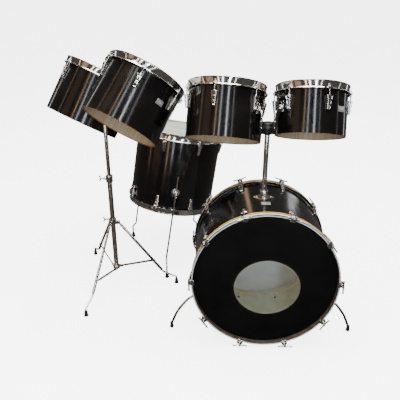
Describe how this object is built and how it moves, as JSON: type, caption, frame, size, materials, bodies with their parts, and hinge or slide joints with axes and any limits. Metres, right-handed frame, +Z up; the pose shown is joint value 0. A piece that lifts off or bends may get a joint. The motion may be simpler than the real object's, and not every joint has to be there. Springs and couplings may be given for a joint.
{
  "type": "acoustic drum kit",
  "caption": "Drum kit: bass drum with a double tom holder, a double tom stand, single-headed toms and a floor tom on legs.",
  "frame": {"origin": "middle of the kit's box, on the floor", "axes": "+X to the right as the audience sees the kit, +Y away from the audience, +Z up"},
  "size_m": [1.516, 1.1722, 1.2395],
  "materials": {
    "black_wrap": "gloss black wrap over a maple shell",
    "black_lacquer": "gloss black lacquer with a thin yellow inlay",
    "chrome": "polished chrome plate",
    "coated_head": "coated polyester film",
    "black_head": "matt black polyester film",
    "black_casting": "satin black casting",
    "rubber": "matt black rubber"
  },
  "bodies": {
    "bass_drum": {"bass_shell": "black_wrap", "bass_front_hoop": "black_lacquer", "bass_rear_hoop": "black_lacquer", "bass_front_head": "black_head", "bass_rear_head": "coated_head", "holder_plate": "chrome"},
    "spur_left": {"spur_left": "chrome"},
    "spur_right": {"spur_right": "chrome"},
    "holder_wing": {"holder_wing": "chrome"},
    "holder_post": {"holder_post": "chrome"},
    "holder_clamp": {"holder_clamp": "black_casting"},
    "arm_mid": {"arm_mid": "chrome"},
    "arm_high": {"arm_high": "chrome"},
    "arm_low": {"arm_low": "chrome"},
    "arm_deep": {"arm_deep": "chrome"},
    "stand": {"stand_tube": "chrome"},
    "mast_wing": {"mast_wing": "chrome"},
    "leg_collar": {"leg_collar": "chrome"},
    "collar_wing": {"collar_wing": "chrome"},
    "stand_mast": {"stand_mast": "chrome"},
    "stand_clamp": {"stand_clamp": "black_casting"},
    "floor_tom": {"floor_shell": "black_wrap", "floor_top_hoop": "chrome", "floor_top_head": "coated_head", "floor_bottom_hoop": "chrome", "floor_bottom_head": "coated_head"},
    "tom_mid": {"tom_mid_shell": "black_wrap", "tom_mid_bracket": "chrome", "tom_mid_hoop": "chrome", "tom_mid_head": "coated_head"},
    "tom_high": {"tom_high_shell": "black_wrap", "tom_high_bracket": "chrome", "tom_high_hoop": "chrome", "tom_high_head": "coated_head"},
    "tom_low": {"tom_low_shell": "black_wrap", "tom_low_bracket": "chrome", "tom_low_hoop": "chrome", "tom_low_head": "coated_head"},
    "tom_deep": {"tom_deep_shell": "black_wrap", "tom_deep_bracket": "chrome", "tom_deep_hoop": "chrome", "tom_deep_head": "coated_head"},
    "leg_1": {"leg_1": "chrome", "leg_1_foot": "rubber"},
    "brace_1": {"brace_1": "chrome"},
    "floor_leg_1": {"floor_leg_1": "chrome", "floor_leg_1_foot": "rubber"},
    "floor_screw_1": {"floor_screw_1": "chrome"},
    "leg_2": {"leg_2": "chrome", "leg_2_foot": "rubber"},
    "brace_2": {"brace_2": "chrome"},
    "floor_leg_2": {"floor_leg_2": "chrome", "floor_leg_2_foot": "rubber"},
    "floor_screw_2": {"floor_screw_2": "chrome"},
    "leg_3": {"leg_3": "chrome", "leg_3_foot": "rubber"},
    "brace_3": {"brace_3": "chrome"},
    "floor_leg_3": {"floor_leg_3": "chrome", "floor_leg_3_foot": "rubber"},
    "floor_screw_3": {"floor_screw_3": "chrome"}
  },
  "joints": [
    {"name": "spur_left_swing", "type": "hinge", "parent": "bass_drum", "child": "spur_left", "pos_m": [0.05692, -0.38104, 0.16644], "axis": [-0.866, 0, -0.5], "range_deg": [0, 100]},
    {"name": "spur_right_swing", "type": "hinge", "parent": "bass_drum", "child": "spur_right", "pos_m": [0.61308, -0.38104, 0.16644], "axis": [-0.866, 0, 0.5], "range_deg": [0, 100]},
    {"name": "holder_wing_turn", "type": "hinge", "parent": "bass_drum", "child": "holder_wing", "pos_m": [0.33, -0.34434, 0.65905], "axis": [0, -1, 0], "range_deg": [-270, 90]},
    {"name": "holder_post_slide", "type": "slide", "parent": "bass_drum", "child": "holder_post", "axis": [0, 0, 1], "range_m": [-0.08, 0.06]},
    {"name": "holder_clamp_swivel", "type": "hinge", "parent": "holder_post", "child": "holder_clamp", "pos_m": [0.33, -0.31904, 0.96305], "axis": [0, 0, 1], "range_deg": [-30, 2]},
    {"name": "arm_mid_swivel", "type": "hinge", "parent": "holder_clamp", "child": "arm_mid", "pos_m": [0.303, -0.31904, 0.92335], "axis": [0, 0, 1], "range_deg": [-6, 2]},
    {"name": "arm_high_swivel", "type": "hinge", "parent": "holder_clamp", "child": "arm_high", "pos_m": [0.357, -0.31904, 0.92335], "axis": [0, 0, 1], "range_deg": [-20, 3]},
    {"name": "tom_mid_tilt", "type": "hinge", "parent": "arm_mid", "child": "tom_mid", "pos_m": [0.2973, -0.29001, 1.01633], "axis": [-0.1928, 0.9812, 0], "range_deg": [-8, 8]},
    {"name": "tom_high_tilt", "type": "hinge", "parent": "arm_high", "child": "tom_high", "pos_m": [0.38634, -0.24922, 1.0153], "axis": [0.3874, 0.9219, 0], "range_deg": [-15, 15]},
    {"name": "floor_tom_place", "type": "slide", "parent": "bass_drum", "child": "floor_tom", "axis": [1, 0, 0], "range_m": [-0.05, 0.03]},
    {"name": "floor_leg_1_slide", "type": "slide", "parent": "floor_tom", "child": "floor_leg_1", "axis": [0.1481, 0.1275, 0.9807], "range_m": [-0.06, 0.1]},
    {"name": "floor_leg_2_slide", "type": "slide", "parent": "floor_tom", "child": "floor_leg_2", "axis": [0.1481, 0.1275, 0.9807], "range_m": [-0.06, 0.1]},
    {"name": "floor_leg_3_slide", "type": "slide", "parent": "floor_tom", "child": "floor_leg_3", "axis": [0.1481, 0.1275, 0.9807], "range_m": [-0.06, 0.1]},
    {"name": "floor_screw_1_turn", "type": "hinge", "parent": "floor_tom", "child": "floor_screw_1", "pos_m": [-0.08678, 0.05357, 0.4707], "axis": [0.1308, -0.9855, 0.1084], "range_deg": [-270, 90]},
    {"name": "floor_screw_2_turn", "type": "hinge", "parent": "floor_tom", "child": "floor_screw_2", "pos_m": [0.03628, 0.51495, 0.39213], "axis": [0.6007, 0.7762, -0.1916], "range_deg": [-270, 90]},
    {"name": "floor_screw_3_turn", "type": "hinge", "parent": "floor_tom", "child": "floor_screw_3", "pos_m": [-0.3268, 0.47338, 0.45236], "axis": [-0.7857, 0.6175, 0.0384], "range_deg": [-270, 90]},
    {"name": "stand_place", "type": "slide", "parent": "bass_drum", "child": "stand", "axis": [0, -1, 0], "range_m": [-0.01, 0.12]},
    {"name": "leg_collar_slide", "type": "slide", "parent": "stand", "child": "leg_collar", "axis": [0, 0, 1], "range_m": [0, 0.11]},
    {"name": "mast_slide", "type": "slide", "parent": "stand", "child": "stand_mast", "axis": [0, 0, 1], "range_m": [-0.08, 0.1]},
    {"name": "mast_wing_turn", "type": "hinge", "parent": "stand", "child": "mast_wing", "pos_m": [-0.4341, -0.05104, 0.602], "axis": [-1, 0, 0], "range_deg": [-270, 90]},
    {"name": "collar_wing_turn", "type": "hinge", "parent": "leg_collar", "child": "collar_wing", "pos_m": [-0.4321, -0.05104, 0.375], "axis": [-1, 0, 0], "range_deg": [-270, 90]},
    {"name": "stand_clamp_swivel", "type": "hinge", "parent": "stand_mast", "child": "stand_clamp", "pos_m": [-0.4053, -0.05104, 0.935], "axis": [0, 0, -1], "range_deg": [-2, 15]},
    {"name": "arm_low_swivel", "type": "hinge", "parent": "stand_clamp", "child": "arm_low", "pos_m": [-0.43208, -0.05447, 0.8953], "axis": [0, 0, -1], "range_deg": [-2, 15]},
    {"name": "arm_deep_swivel", "type": "hinge", "parent": "stand_clamp", "child": "arm_deep", "pos_m": [-0.40873, -0.02426, 0.8953], "axis": [0, 0, -1], "range_deg": [-10, 10]},
    {"name": "tom_low_tilt", "type": "hinge", "parent": "arm_low", "child": "tom_low", "pos_m": [-0.38685, -0.04699, 1.00527], "axis": [0.9866, 0.1633, 0], "range_deg": [-8, 3]},
    {"name": "tom_deep_tilt", "type": "hinge", "parent": "arm_deep", "child": "tom_deep", "pos_m": [-0.41869, 0.0758, 0.97667], "axis": [-0.0991, 0.9951, 0], "range_deg": [-10, 10]},
    {"name": "leg_1_fold", "type": "hinge", "parent": "leg_collar", "child": "leg_1", "pos_m": [-0.41457, -0.07957, 0.359], "axis": [0.9511, -0.309, 0], "range_deg": [0, 10.8]},
    {"name": "brace_1_fold", "type": "hinge", "parent": "stand", "child": "brace_1", "pos_m": [-0.40358, -0.07683, 0.092], "axis": [0.9511, -0.309, 0], "range_deg": [-28.1, 0]},
    {"name": "leg_2_fold", "type": "hinge", "parent": "leg_collar", "child": "leg_2", "pos_m": [-0.37532, -0.05209, 0.359], "axis": [0.0349, 0.9994, 0], "range_deg": [0, 10.8]},
    {"name": "brace_2_fold", "type": "hinge", "parent": "stand", "child": "brace_2", "pos_m": [-0.38098, -0.04228, 0.092], "axis": [0.0349, 0.9994, 0], "range_deg": [-28.1, 0]},
    {"name": "leg_3_fold", "type": "hinge", "parent": "leg_collar", "child": "leg_3", "pos_m": [-0.42207, -0.02617, 0.359], "axis": [-0.829, -0.5592, 0], "range_deg": [0, 10.8]},
    {"name": "brace_3_fold", "type": "hinge", "parent": "stand", "child": "brace_3", "pos_m": [-0.42668, -0.03651, 0.092], "axis": [-0.829, -0.5592, 0], "range_deg": [-28.1, 0]}
  ],
  "couplings": [
    {"joint": "leg_1_fold", "follows": "leg_collar_slide", "rad_per_m": 1.7},
    {"joint": "brace_1_fold", "follows": "leg_collar_slide", "rad_per_m": -4.44},
    {"joint": "leg_2_fold", "follows": "leg_collar_slide", "rad_per_m": 1.7},
    {"joint": "brace_2_fold", "follows": "leg_collar_slide", "rad_per_m": -4.44},
    {"joint": "leg_3_fold", "follows": "leg_collar_slide", "rad_per_m": 1.7},
    {"joint": "brace_3_fold", "follows": "leg_collar_slide", "rad_per_m": -4.44}
  ]
}
